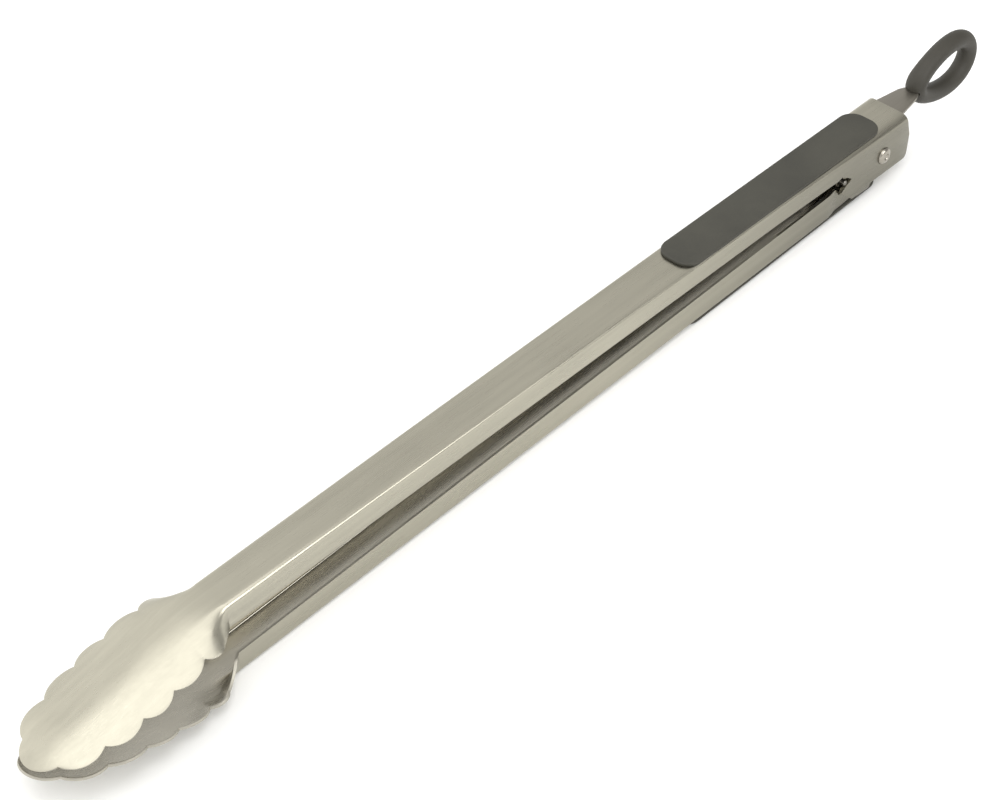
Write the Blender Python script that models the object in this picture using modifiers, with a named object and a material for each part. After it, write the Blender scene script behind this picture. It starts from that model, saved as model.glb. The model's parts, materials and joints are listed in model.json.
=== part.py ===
"""Spring-loaded kitchen tongs with a pull-ring lock.

Two pressed steel channels with scalloped spoon jaws turn on one rivet. A torsion spring round the
rivet's spacer opens them. A flat strap slides under the upper arm's web: its cross bar hooks both
arms when the hanging ring is pulled out, and lets them open when the ring is pushed in.

World axes: +X to the hanging ring, +Z up, metres. The tongs lie on the lower arm, locked shut.
Each arm is drawn in its own frame: x along the arm from the pivot, z outwards from the mid-plane.
"""

import bpy
import bmesh
from math import atan, cos, degrees, hypot, pi, radians, sin, tan
from mathutils import Matrix, Vector

MM = 0.001

# ---------------------------------------------------------------- driving dimensions, millimetres
SHEET = 0.9                  # steel thickness of both arms
REACH = 400.0                # pivot to the upper jaw's tip
LOWER_REACH = 401.3          # the lower jaw shows a little beyond it
WEB_Z = 10.93                # pivot to the outer face of an arm's web
ARM_ANGLE = 0.853            # degrees each arm leans away from the mid-plane when locked shut
NECK_X = -324.5              # where the upper flanges end and the jaw starts
LOWER_NECK_X = -322.0        # the same on the lower arm
NECK_HALF_WIDTH = 7.5
REAR_HALF_WIDTH = 8.5        # of the channel, just ahead of the ears
REAR_X = -33.0
EAR_HALF_WIDTH = 9.1         # upper ears, outside the lower ones
INNER_EAR_HALF_WIDTH = 7.8   # lower ears
BEND_RADIUS = 1.1            # along the channel
EAR_BEND_RADIUS = 3.0        # at the rear end
BENDS = ((0.0, EAR_BEND_RADIUS), (-30.0, BEND_RADIUS))
UPPER_FLANGE = (7.6, 9.4)    # flange height at REAR_X and at the neck
LOWER_FLANGE = (10.6, 8.8)

# side outline of the ears, from the end of the flange's edge to the rear: (x, z, corner radius)
NOTCH_X, NOTCH_RADIUS = -26.6, 1.0
UPPER_EAR = ((-24.4, 4.0, 0.5), (-18.8, 0.2, 0.4), (-24.8, -3.6, 0.5), (-17.7, -9.6, 1.2),
             (-8.0, -10.2, 1.0), (-6.6, -8.4, 0.6), (14.2, -8.4, 2.2), (15.2, 1.5, 3.0),
             (12.6, 12.5, 0.0))
LOWER_EAR = ((-24.4, 4.3, 0.5), (-18.8, 0.5, 0.4), (-22.6, -2.4, 0.4), (-19.0, -7.0, 1.0),
             (-8.0, -8.1, 2.0), (3.0, -8.1, 3.0), (8.3, -3.0, 3.0), (9.0, 5.0, 0.0))
EAR_DEPTH = -12.0            # how deep the untrimmed sheet runs at the ears
TRIM_FRONT, TRIM_REAR = -60.0, 30.0
TRIM_INNER, TRIM_HALF_WIDTH = -30.0, 15.0

# jaw: a shallow trough swept down a ridge that leans towards the other jaw
RIDGE_LEAN = 0.207
RIDGE_START = -335.0
RIDGE_SOFTNESS = 6.0
TIP_DROP = 2.2
TIP_DROP_START = -385.0
TROUGH = 0.022
TROUGH_POWER = 1.8
SPINE_END = -388.0
# the jaw's edge: where each arc ends (x, half-width), and how far it bulges outwards
LOBES = ((-333.0, 14.9, 0.3), (-341.4, 14.9, 1.9), (-354.8, 15.7, 2.5), (-367.0, 15.5, 2.5),
         (-380.7, 13.7, 2.7), (-394.3, 8.0, 3.4))
LOBE_STEPS = 6
TIP_STEPS = 6
FLARE_LENGTH = 24.0          # over which the channel opens out into the jaw
FLARE_POWER = 2.4

# grip pads
PAD_FRONT, PAD_REAR = -109.2, 0.6
PAD_HALF_WIDTH = 8.0
PAD_END_RADIUS = 6.2
PAD_ROUNDING = 0.6
PAD_PROUD = 1.4
SEAT_GAP = 0.15              # between two parts that touch

# pivot and spring
RIVET_RADIUS = 2.0
RUNNING_GAP = 0.1
RIVET_HEAD_RADIUS = 3.3
RIVET_HEAD_HEIGHT = 1.3
DIMPLE_RADIUS, DIMPLE_DEPTH = 1.35, 0.7
SPACER_RADIUS = 3.4
SPACER_HALF = 6.5
WIRE_RADIUS = 0.7
COIL_RADIUS = 4.6
COIL_TURNS = 4.5
COIL_PITCH = 1.6
LEG_KNEE_X, LEG_KNEE_Z = -38.0, 7.2
LEG_END_X = -52.0
LEG_GAP = 0.3                # from the end of a leg to the web above it

# lock
STRAP_Z = 9.43               # middle of the strap's thickness
STRAP_HALF_WIDTH = 6.4
STRAP_FRONT = -24.4
STRAP_TAPER_START = 12.0
STRAP_TAPER_END, STRAP_NECK_HALF_WIDTH = 26.5, 4.3
STRAP_END, STRAP_END_HALF_WIDTH = 31.2, 3.9
STRAP_CORNER = 1.0
BAR_X, BAR_Z = -22.0, -0.33
BAR_RADIUS = 1.0
BAR_HALF = 8.7
BAR_CHAMFER = 0.3
BAR_PLAY = 0.2
TAB_INNER, TAB_OUTER = 5.2, 6.2
TAB_HALF_LENGTH = 2.4
TAB_ROUNDING = 2.3
RING_X, RING_Z = 46.0, 10.0
RING_A, RING_B = 15.8, 9.1   # half-axes of the ring's middle line
RING_EGG = 0.23
RING_TUBE = 3.65
SLOT_GAP = 0.3


# ---------------------------------------------------------------- where the tongs lie
def ramp(x, start, softness):
    """Distance past start towards the tip, easing in from zero."""
    past = start - x
    return (past + hypot(past, softness)) / 2


def ridge_z(x):
    """Height of the arm's middle line: flat along the web, then down the jaw to its tip."""
    drop = max(0.0, TIP_DROP_START - x) / (REACH + TIP_DROP_START)
    return WEB_Z - RIDGE_LEAN * ramp(x, RIDGE_START, RIDGE_SOFTNESS) - TIP_DROP * drop ** 2


# the lower arm rests on the front of its pad and, near the neck, on its web
PAD_REST_X = PAD_FRONT + 1.0
NECK_REST_X = -315.0
REST_LEAN = atan((WEB_Z + PAD_PROUD - ridge_z(NECK_REST_X)) / (PAD_REST_X - NECK_REST_X))
LOWER_TILT = -degrees(REST_LEAN)
UPPER_TILT = 2.0 * ARM_ANGLE + LOWER_TILT
PIVOT_X = 167.835
PIVOT_Z = (WEB_Z + PAD_PROUD) * cos(REST_LEAN) - PAD_REST_X * sin(REST_LEAN)
PIVOT = Vector((PIVOT_X, 0.0, PIVOT_Z)) * MM


# ---------------------------------------------------------------- helpers
def clear_scene():
    for obj in list(bpy.data.objects):
        bpy.data.objects.remove(obj, do_unlink=True)


def collection(name):
    made = bpy.data.collections.new(name)
    bpy.context.scene.collection.children.link(made)
    return made


def material(name, colour, roughness, metallic):
    made = bpy.data.materials.new(name)
    made.use_nodes = True
    shader = made.node_tree.nodes["Principled BSDF"]
    shader.inputs["Base Color"].default_value = (*colour, 1.0)
    shader.inputs["Roughness"].default_value = roughness
    shader.inputs["Metallic"].default_value = metallic
    made.diffuse_color = (*colour, 1.0)
    return made


def frame(name, tilt, home):
    """An empty on the pivot's axis, leaning by tilt degrees about +Y."""
    empty = bpy.data.objects.new(name, None)
    empty.location = PIVOT
    empty.rotation_euler = (0.0, radians(tilt), 0.0)
    home.objects.link(empty)
    return empty


def place(obj, home, parent, finish=None):
    home.objects.link(obj)
    obj.parent = parent
    if finish:
        obj.data.materials.clear()
        obj.data.materials.append(finish)
    return obj


def mesh_object(name, bm):
    """Turns a bmesh drawn in millimetres into an object."""
    bmesh.ops.transform(bm, matrix=Matrix.Scale(MM, 4), verts=bm.verts)
    mesh = bpy.data.meshes.new(name)
    bm.to_mesh(mesh)
    bm.free()
    return bpy.data.objects.new(name, mesh)


def smooth(obj, angle=35.0):
    obj.data.shade_smooth()
    obj.data.set_sharp_from_angle(angle=radians(angle))


def boolean(obj, other, operation="DIFFERENCE"):
    made = obj.modifiers.new(other.name, "BOOLEAN")
    made.operation = operation
    made.solver = "EXACT"
    made.object = other


def tool(obj, parent=None):
    """Makes an object a cutter: out of the render, and drawn as wire."""
    CUTTERS.objects.link(obj)
    obj.parent = parent
    obj.hide_render = True
    obj.display_type = "WIRE"
    return obj


def cylinder(name, radius, start, end, sides=32):
    """A cylinder between two points, in millimetres."""
    start, end = Vector(start), Vector(end)
    axis = end - start
    turn = axis.to_track_quat("Z", "Y").to_matrix().to_4x4()
    bm = bmesh.new()
    bmesh.ops.create_cone(bm, cap_ends=True, segments=sides, radius1=radius, radius2=radius,
                          depth=axis.length, matrix=Matrix.Translation((start + end) / 2) @ turn)
    return mesh_object(name, bm)


def box(name, low, high):
    low, high = Vector(low), Vector(high)
    bm = bmesh.new()
    bmesh.ops.create_cube(bm, size=1.0)
    bmesh.ops.scale(bm, vec=high - low, verts=bm.verts)
    bmesh.ops.translate(bm, vec=(low + high) / 2, verts=bm.verts)
    return mesh_object(name, bm)


def rounded(corners, steps=5):
    """Outline from corners (a, b, radius), each corner replaced by an arc."""
    outline = []
    count = len(corners)
    for i, (a, b, radius) in enumerate(corners):
        here = Vector((a, b))
        before = (Vector(corners[i - 1][:2]) - here).normalized()
        after = (Vector(corners[(i + 1) % count][:2]) - here).normalized()
        if radius == 0:
            outline.append(here)
            continue
        half = before.angle(after) / 2
        middle = here + (before + after).normalized() * radius / sin(half)
        first = here + before * radius / tan(half) - middle
        last = here + after * radius / tan(half) - middle
        sweep = first.angle_signed(last)
        for step in range(steps + 1):
            outline.append(middle + Matrix.Rotation(-sweep * step / steps, 2) @ first)
    return outline


def prism(name, outline, low, high, upright=False):
    """An outline extruded between two depths: along Z, or along Y when upright."""
    curve = bpy.data.curves.new(name, "CURVE")
    curve.dimensions = "2D"
    curve.fill_mode = "BOTH"
    spline = curve.splines.new("POLY")
    spline.points.add(len(outline) - 1)
    for point, (a, b) in zip(spline.points, outline):
        point.co = (a * MM, b * MM, 0.0, 1.0)
    spline.use_cyclic_u = True
    curve.extrude = (high - low) / 2 * MM
    shift = Matrix.Translation((0, 0, (low + high) / 2 * MM))
    turn = Matrix.Rotation(radians(90), 4, "X") if upright else Matrix.Identity(4)
    return curve_to_mesh(name, curve, turn @ shift)


def curve_to_mesh(name, curve, matrix=Matrix.Identity(4)):
    """The mesh of a curve, with its loose caps welded on."""
    source = bpy.data.objects.new(name + "_curve", curve)
    bpy.context.scene.collection.objects.link(source)
    bpy.context.view_layer.update()
    evaluated = source.evaluated_get(bpy.context.evaluated_depsgraph_get())
    mesh = bpy.data.meshes.new_from_object(evaluated)
    bpy.data.objects.remove(source, do_unlink=True)
    mesh.name = name
    bm = bmesh.new()
    bm.from_mesh(mesh)
    bmesh.ops.remove_doubles(bm, verts=bm.verts, dist=1e-6)
    bmesh.ops.dissolve_degenerate(bm, edges=bm.edges, dist=1e-7)
    bmesh.ops.recalc_face_normals(bm, faces=bm.faces)
    bmesh.ops.transform(bm, matrix=matrix, verts=bm.verts)
    bm.to_mesh(mesh)
    bm.free()
    return bpy.data.objects.new(name, mesh)


def wire(name, points, radius, closed=False, sides=2):
    """The curve of a round wire along points in millimetres."""
    curve = bpy.data.curves.new(name, "CURVE")
    curve.dimensions = "3D"
    spline = curve.splines.new("POLY")
    spline.points.add(len(points) - 1)
    for point, place_at in zip(spline.points, points):
        point.co = (*(Vector(place_at) * MM), 1.0)
    spline.use_cyclic_u = closed
    curve.bevel_depth = radius * MM
    curve.bevel_resolution = sides
    curve.use_fill_caps = not closed
    return curve


def turned(name, profile, steps=32):
    """A profile (radius, height) in millimetres, turned about Z by a Screw modifier."""
    bm = bmesh.new()
    verts = [bm.verts.new((radius, 0.0, height)) for radius, height in profile]
    for first, second in zip(verts, verts[1:]):
        bm.edges.new((first, second))
    if profile[0] == profile[-1]:
        bmesh.ops.remove_doubles(bm, verts=bm.verts, dist=1e-6)
    obj = mesh_object(name, bm)
    screw = obj.modifiers.new("turn", "SCREW")
    screw.axis = "Z"
    screw.steps = steps
    screw.render_steps = steps
    screw.use_merge_vertices = True
    screw.merge_threshold = 1e-7
    screw.use_smooth_shade = True
    return obj


# ---------------------------------------------------------------- the pressed arms
def trough_z(x, y):
    return ridge_z(x) - TROUGH * abs(y) ** TROUGH_POWER


def flange_edge_z(x, flange):
    """Height of the flange's free edge, given its height at the rear and at the neck."""
    share = (x - REAR_X) / (NECK_X - REAR_X)
    return WEB_Z - (flange[0] + (flange[1] - flange[0]) * share)


def between(x, table):
    """Straight-line value at x in a table of (x, value), x falling."""
    for (x0, v0), (x1, v1) in zip(table, table[1:]):
        if x >= x1:
            return v0 + (v1 - v0) * min(1.0, max(0.0, (x0 - x) / (x0 - x1)))
    return table[-1][1]


def channel_section(half_width, top_z, edge_z, bend=BEND_RADIUS):
    """Half of the channel's section from its middle to the flange's edge, as (y, z)."""
    flat = half_width - bend
    points = [(flat * i / 3, top_z) for i in range(4)]
    for i in range(1, 5):
        angle = radians(90 * i / 4)
        points.append((flat + bend * sin(angle), top_z - bend * (1 - cos(angle))))
    bend_end = top_z - bend
    points += [(half_width, bend_end + (edge_z - bend_end) * i / 2) for i in (1, 2)]
    return points


def lobe(start, end, bulge, steps):
    """Points after start on the arc to end that bulges outwards."""
    start, end = Vector(start), Vector(end)
    chord = end - start
    radius = (chord.length ** 2 / 4 + bulge ** 2) / (2 * bulge)
    outward = Vector((chord.y, -chord.x)).normalized()
    middle = (start + end) / 2 + outward * (bulge - radius)
    first, last = start - middle, end - middle
    sweep = -first.angle_signed(last)
    return [middle + Matrix.Rotation(sweep * i / steps, 2) @ first for i in range(1, steps + 1)]


def rim_outline(neck_x, reach):
    """The jaw's edge in plan, from the flange's end to the tip."""
    outline = []
    corner = (neck_x, NECK_HALF_WIDTH)
    for x, y, bulge in LOBES:
        outline += lobe(corner, (x, y), bulge, LOBE_STEPS)
        corner = (x, y)
    tip_bulge = reach + corner[0]
    outline += lobe(corner, (corner[0], -corner[1]), tip_bulge, 2 * TIP_STEPS)[:TIP_STEPS]
    return outline


def flare(x):
    """How far the channel has opened out into the jaw at x, from 0 to 1."""
    t = min(1.0, max(0.0, (NECK_X - x) / FLARE_LENGTH))
    return 1 - (1 - t) ** FLARE_POWER


def arm_rows(stations, widths, depths, flange, reach):
    """Rows of points across half an arm, from its rear end to the tip of its jaw."""
    rows = []
    for x in stations:
        bend = between(x, BENDS)
        section = channel_section(between(x, widths), ridge_z(x), between(x, depths), bend)
        rows.append([(x, y, z) for y, z in section])
    neck_x = stations[-1]
    neck = channel_section(NECK_HALF_WIDTH, 0.0, flange_edge_z(neck_x, flange) - ridge_z(neck_x))
    rim = rim_outline(neck_x, reach)
    steps = len(rim)
    for i, (rim_x, rim_y) in enumerate(rim, 1):
        spine_x = neck_x + (SPINE_END - neck_x) * i / steps
        share = flare(rim_x)
        row = []
        for j, (y, z) in enumerate(neck):
            t = j / (len(neck) - 1)
            x = spine_x + (rim_x - spine_x) * t
            flared_y = y + (rim_y - NECK_HALF_WIDTH) * z / neck[-1][1]
            dish_y = rim_y * t
            flared_z = ridge_z(x) + z
            dish_z = trough_z(x, dish_y)
            row.append((x, flared_y + (dish_y - flared_y) * share,
                        flared_z + (dish_z - flared_z) * share))
        rows.append(row)
    return rows


def pressed_arm(name, side, stations, widths, depths, flange, reach):
    """One arm as a thin sheet: side is 1 for the upper arm and -1 for the lower one."""
    bm = bmesh.new()
    grid = [[bm.verts.new((x, y, z * side)) for x, y, z in row]
            for row in arm_rows(stations, widths, depths, flange, reach)]
    for row, next_row in zip(grid, grid[1:]):
        for j in range(len(row) - 1):
            bm.faces.new((row[j], row[j + 1], next_row[j + 1], next_row[j]))
    bm.normal_update()
    if grid[0][0].link_faces[0].normal.z * side < 0:
        bmesh.ops.reverse_faces(bm, faces=bm.faces)
    obj = mesh_object(name, bm)
    mirror = obj.modifiers.new("mirror", "MIRROR")
    mirror.use_axis = (False, True, False)
    mirror.merge_threshold = 1e-5
    solid = obj.modifiers.new("sheet", "SOLIDIFY")
    solid.thickness = SHEET * MM
    solid.offset = -1.0
    solid.use_even_offset = True
    smooth(obj)
    return obj


def side_cutter(name, side, ear, flange):
    """Takes away everything on the inner side of the flange's edge and of the ear's outline."""
    outline = rounded([(TRIM_FRONT, flange_edge_z(TRIM_FRONT, flange), 0),
                       (NOTCH_X, flange_edge_z(NOTCH_X, flange), NOTCH_RADIUS), *ear,
                       (TRIM_REAR, ear[-1][1], 0), (TRIM_REAR, TRIM_INNER, 0),
                       (TRIM_FRONT, TRIM_INNER, 0)])
    return prism(name, [(x, z * side) for x, z in outline], -TRIM_HALF_WIDTH, TRIM_HALF_WIDTH,
                 upright=True)


def flange_depths(rear_x, deep_until, flange):
    """Where the sheet ends before trimming: deep round the ears, then the flange's edge."""
    return ((rear_x, EAR_DEPTH), (deep_until, EAR_DEPTH),
            (-40.0, flange_edge_z(-40.0, flange) - 1.0),
            (TRIM_FRONT, flange_edge_z(TRIM_FRONT, flange)), (NECK_X, flange_edge_z(NECK_X, flange)))


def upper_arm(parent, steel):
    stations = (15.5, -10.0, -20.0, -34.0, -40.0, -60.0, -130.0, -200.0, -270.0, -310.0,
                -316.0, -321.0, NECK_X)
    widths = ((16.0, EAR_HALF_WIDTH), (-20.0, EAR_HALF_WIDTH), (-60.0, 8.4),
              (NECK_X, NECK_HALF_WIDTH))
    depths = flange_depths(16.0, -34.0, UPPER_FLANGE)
    arm = pressed_arm("upper_arm", 1, stations, widths, depths, UPPER_FLANGE, REACH)
    boolean(arm, tool(side_cutter("upper_outline", 1, UPPER_EAR, UPPER_FLANGE), parent))
    return place(arm, PARTS, parent, steel)


def lower_arm(parent, steel):
    stations = (9.0, -10.0, -24.0, -26.5, -30.5, REAR_X, -40.0, -60.0, -130.0, -200.0, -270.0,
                -310.0, -316.0, LOWER_NECK_X)
    widths = ((10.0, INNER_EAR_HALF_WIDTH), (-26.5, INNER_EAR_HALF_WIDTH), (-30.5, REAR_HALF_WIDTH),
              (REAR_X, REAR_HALF_WIDTH), (NECK_X, NECK_HALF_WIDTH))
    depths = flange_depths(10.0, -30.5, LOWER_FLANGE)
    arm = pressed_arm("lower_arm", -1, stations, widths, depths, LOWER_FLANGE, LOWER_REACH)
    boolean(arm, tool(side_cutter("lower_outline", -1, LOWER_EAR, LOWER_FLANGE), parent))
    return place(arm, PARTS, parent, steel)


# ---------------------------------------------------------------- grips
def grip(name, side, parent, rubber):
    """A rubber pad bonded to the outside of the web, with its outer edge rounded."""
    outline = rounded([(PAD_FRONT, -PAD_HALF_WIDTH, PAD_END_RADIUS),
                       (PAD_REAR, -PAD_HALF_WIDTH, PAD_END_RADIUS),
                       (PAD_REAR, PAD_HALF_WIDTH, PAD_END_RADIUS),
                       (PAD_FRONT, PAD_HALF_WIDTH, PAD_END_RADIUS)], 10)
    low, high = sorted((side * (WEB_Z + SEAT_GAP), side * (WEB_Z + PAD_PROUD)))
    pad = place(prism(name, outline, low, high), PARTS, parent, rubber)
    outer = (WEB_Z + PAD_PROUD - 0.1) * MM
    bm = bmesh.new()
    bm.from_mesh(pad.data)
    rim = [edge for edge in bm.edges if edge.calc_face_angle() > 1.0
           and all(abs(vert.co.z) > outer for vert in edge.verts)]
    bmesh.ops.bevel(bm, geom=rim, offset=PAD_ROUNDING * MM, segments=3, profile=0.5, affect="EDGES")
    bm.to_mesh(pad.data)
    bm.free()
    smooth(pad)
    return pad


# ---------------------------------------------------------------- pivot and spring
def rivet_hole(arm, parent):
    hole = cylinder(arm.name + "_rivet_hole", RIVET_RADIUS + RUNNING_GAP, (0, -20, 0), (0, 20, 0), 48)
    boolean(arm, tool(hole, parent))


def rivet(parent, steel):
    """A solid rivet along Y with a domed, dimpled head at each end."""
    seat = EAR_HALF_WIDTH + SEAT_GAP
    top = seat + RIVET_HEAD_HEIGHT
    head = [(0.0, top - DIMPLE_DEPTH), (0.9, top - 0.6), (DIMPLE_RADIUS, top)]
    dome = RIVET_HEAD_RADIUS - DIMPLE_RADIUS
    head += [(DIMPLE_RADIUS + dome * sin(a), seat + RIVET_HEAD_HEIGHT * cos(a))
             for a in (radians(30), radians(55), radians(75), radians(90))]
    head.append((RIVET_RADIUS, seat))
    profile = head + [(radius, -height) for radius, height in reversed(head)]
    obj = place(turned("pivot_rivet", profile, 48), PARTS, parent, steel)
    obj.rotation_euler = (radians(90), 0, 0)
    return obj


def spacer(parent, steel):
    inner = RIVET_RADIUS + RUNNING_GAP
    profile = [(inner, SPACER_HALF), (SPACER_RADIUS, SPACER_HALF), (SPACER_RADIUS, -SPACER_HALF),
               (inner, -SPACER_HALF), (inner, SPACER_HALF)]
    obj = place(turned("pivot_spacer", profile, 32), PARTS, parent, steel)
    obj.rotation_euler = (radians(90), 0, 0)
    return obj


def spring(parent, steel):
    """Coil round the spacer, with a leg forward under each web."""
    half = COIL_TURNS * COIL_PITCH / 2
    end_z = WEB_Z - SHEET - WIRE_RADIUS - LEG_GAP
    points = [(LEG_END_X, half, end_z), (LEG_KNEE_X, half, LEG_KNEE_Z)]
    steps = int(COIL_TURNS * 12)
    for i in range(steps + 1):
        share = i / steps
        angle = radians(90) - 2 * pi * COIL_TURNS * share
        points.append((COIL_RADIUS * cos(angle), half - 2 * half * share, COIL_RADIUS * sin(angle)))
    points += [(LEG_KNEE_X, -half, -LEG_KNEE_Z), (LEG_END_X, -half, -end_z)]
    curve = wire("torsion_spring", points, WIRE_RADIUS)
    return place(bpy.data.objects.new("torsion_spring", curve), PARTS, parent, steel)


# ---------------------------------------------------------------- lock
def strap(parent, steel):
    """Flat strap that ends inside the ring, with two bent-down tabs for the cross bar."""
    half = STRAP_HALF_WIDTH
    side = [(STRAP_FRONT, half, STRAP_CORNER), (STRAP_TAPER_START, half, 0),
            (STRAP_TAPER_END, STRAP_NECK_HALF_WIDTH, 0),
            (STRAP_END, STRAP_END_HALF_WIDTH, STRAP_CORNER)]
    outline = rounded(side + [(x, -y, r) for x, y, r in reversed(side)], 4)
    plate = prism("lock_strap", outline, STRAP_Z - SHEET / 2, STRAP_Z + SHEET / 2)
    plate = place(plate, PARTS, parent, steel)
    front, back = BAR_X - TAB_HALF_LENGTH, BAR_X + TAB_HALF_LENGTH
    foot = BAR_Z - TAB_HALF_LENGTH
    drop = rounded([(front, STRAP_Z, 0), (front, foot, TAB_ROUNDING), (back, foot, TAB_ROUNDING),
                    (back, STRAP_Z, 0)], 6)
    for sign in (-1, 1):
        inner, outer = sorted((sign * TAB_INNER, sign * TAB_OUTER))
        tab = prism(f"strap_tab_{sign}", drop, inner, outer, upright=True)
        boolean(plate, tool(tab, parent), "UNION")
    hole = cylinder("bar_hole", BAR_RADIUS + BAR_PLAY, (BAR_X, -BAR_HALF, BAR_Z),
                    (BAR_X, BAR_HALF, BAR_Z), 24)
    boolean(plate, tool(hole, parent))
    return plate


def bar(parent, steel):
    profile = [(0.0, BAR_HALF), (BAR_RADIUS - BAR_CHAMFER, BAR_HALF),
               (BAR_RADIUS, BAR_HALF - BAR_CHAMFER)]
    profile += [(radius, -height) for radius, height in reversed(profile)]
    obj = place(turned("lock_bar", profile, 24), PARTS, parent, steel)
    obj.location = (BAR_X * MM, 0, BAR_Z * MM)
    obj.rotation_euler = (radians(90), 0, 0)
    return obj


def ring(parent, rubber):
    """Egg-shaped hanging ring of round section, standing across the strap."""
    points = []
    count = 36
    for i in range(count):
        angle = 2 * pi * i / count
        height = RING_B * sin(angle) * (1 + RING_EGG * cos(angle))
        points.append((RING_X + RING_A * cos(angle), 0.0, RING_Z + height))
    curve = wire("hang_ring", points, RING_TUBE, closed=True, sides=4)
    obj = place(curve_to_mesh("hang_ring", curve), PARTS, parent, rubber)
    thick = SHEET / 2 + SLOT_GAP
    wide = RING_TUBE + 1.0
    slot = box("ring_slot", (STRAP_TAPER_START, -wide, STRAP_Z - thick),
               (STRAP_END + SLOT_GAP, wide, STRAP_Z + thick))
    boolean(obj, tool(slot, parent))
    smooth(obj)
    return obj


# ---------------------------------------------------------------- assembly
clear_scene()
PARTS = collection("kitchen_tongs")
CUTTERS = collection("cutters")

STEEL = material("brushed_steel", (0.62, 0.60, 0.55), 0.32, 1.0)
STEEL_UPPER = material("brushed_steel_upper", (0.62, 0.60, 0.55), 0.32, 1.0)
STRAP_STEEL = material("strap_steel", (0.45, 0.42, 0.38), 0.4, 1.0)
RIVET_STEEL = material("rivet_steel", (0.66, 0.62, 0.55), 0.25, 1.0)
SPACER_STEEL = material("spacer_steel", (0.5, 0.5, 0.5), 0.4, 1.0)
BAR_STEEL = material("bar_steel", (0.5, 0.5, 0.5), 0.35, 1.0)
SPRING_STEEL = material("spring_steel", (0.4, 0.4, 0.42), 0.35, 1.0)
PAD_RUBBER = material("pad_rubber", (0.085, 0.08, 0.07), 0.6, 0.0)
PAD_RUBBER_UPPER = material("pad_rubber_upper", (0.085, 0.08, 0.07), 0.6, 0.0)
RING_RUBBER = material("ring_rubber", (0.07, 0.065, 0.055), 0.55, 0.0)

lower_frame = frame("lower_frame", LOWER_TILT, PARTS)
upper_frame = frame("upper_frame", UPPER_TILT, PARTS)
lock_frame = frame("lock_frame", UPPER_TILT, PARTS)

lower = lower_arm(lower_frame, STEEL)
upper = upper_arm(upper_frame, STEEL_UPPER)
rivet_hole(lower, lower_frame)
rivet_hole(upper, upper_frame)
grip("lower_grip", -1, lower_frame, PAD_RUBBER)
grip("upper_grip", 1, upper_frame, PAD_RUBBER_UPPER)
rivet(lower_frame, RIVET_STEEL)
spacer(lower_frame, SPACER_STEEL)
spring(lower_frame, SPRING_STEEL)
strap(lock_frame, STRAP_STEEL)
bar(lock_frame, BAR_STEEL)
ring(lock_frame, RING_RUBBER)
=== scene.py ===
"""Looks of the spring-loaded kitchen tongs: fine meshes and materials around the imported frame.

Each arm is drawn in millimetres in its own frame, x along the arm from the pivot (plus towards the
hanging ring) and z outwards from the mid-plane, and is then set on the pivot at the arm's lean.
"""

import bpy
import bmesh
import json
from math import atan2, cos, hypot, pi, radians, sin, tan
from mathutils import Matrix, Vector


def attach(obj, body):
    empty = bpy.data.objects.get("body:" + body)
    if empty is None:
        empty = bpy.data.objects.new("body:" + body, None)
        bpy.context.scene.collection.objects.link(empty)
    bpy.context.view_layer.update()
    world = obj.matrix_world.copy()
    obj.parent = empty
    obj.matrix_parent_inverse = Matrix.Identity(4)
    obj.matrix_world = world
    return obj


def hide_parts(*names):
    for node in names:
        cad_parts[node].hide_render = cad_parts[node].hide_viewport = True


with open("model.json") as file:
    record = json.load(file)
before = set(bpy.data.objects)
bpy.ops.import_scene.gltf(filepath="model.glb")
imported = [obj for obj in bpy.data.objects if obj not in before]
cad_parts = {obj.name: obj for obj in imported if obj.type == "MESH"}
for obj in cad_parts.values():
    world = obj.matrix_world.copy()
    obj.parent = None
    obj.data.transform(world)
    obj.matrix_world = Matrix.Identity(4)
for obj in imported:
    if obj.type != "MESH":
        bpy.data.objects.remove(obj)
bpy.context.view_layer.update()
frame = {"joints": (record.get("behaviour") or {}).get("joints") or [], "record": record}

MM = 0.001

# ---------------------------------------------------------------- driving dimensions, millimetres
SHEET = 0.9
EDGE_ROUNDING = 0.4          # of the sheet's cut edges
REACH = 400.0                # pivot to the upper jaw's tip
LOWER_REACH = 401.3
WEB_Z = 10.93                # pivot to the outer face of the web
NECK_X, LOWER_NECK_X, NECK_HALF_WIDTH = -324.5, -322.0, 7.5
REAR_X, REAR_HALF_WIDTH = -33.0, 8.5
EAR_HALF_WIDTH = 9.1
INNER_EAR_HALF_WIDTH = 7.8
BEND_RADIUS, NECK_BEND_RADIUS = 1.1, 1.7
EAR_BEND_RADIUS = 3.0
BENDS = ((0.0, EAR_BEND_RADIUS), (-30.0, BEND_RADIUS), (-220.0, BEND_RADIUS),
         (NECK_X, NECK_BEND_RADIUS))
UPPER_FLANGE = (7.6, 9.4)    # flange height at REAR_X and at the neck
LOWER_FLANGE = (10.6, 8.8)

RIDGE_LEAN, RIDGE_START, RIDGE_SOFTNESS = 0.207, -335.0, 6.0
TIP_DROP, TIP_DROP_START = 2.2, -385.0
TROUGH, TROUGH_POWER = 0.022, 1.8
SPINE_END = -388.0
LOBES = ((-333.0, 14.9, 0.3), (-341.4, 14.9, 1.9), (-354.8, 15.7, 2.5), (-367.0, 15.5, 2.5),
         (-380.7, 13.7, 2.7), (-394.3, 8.0, 3.4))
LOBE_STEPS, TIP_STEPS = 14, 16
FLARE_LENGTH, FLARE_POWER = 24.0, 2.4
INSIDE = 0.12                # how far the fine outline stays inside the frame's corners

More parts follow.
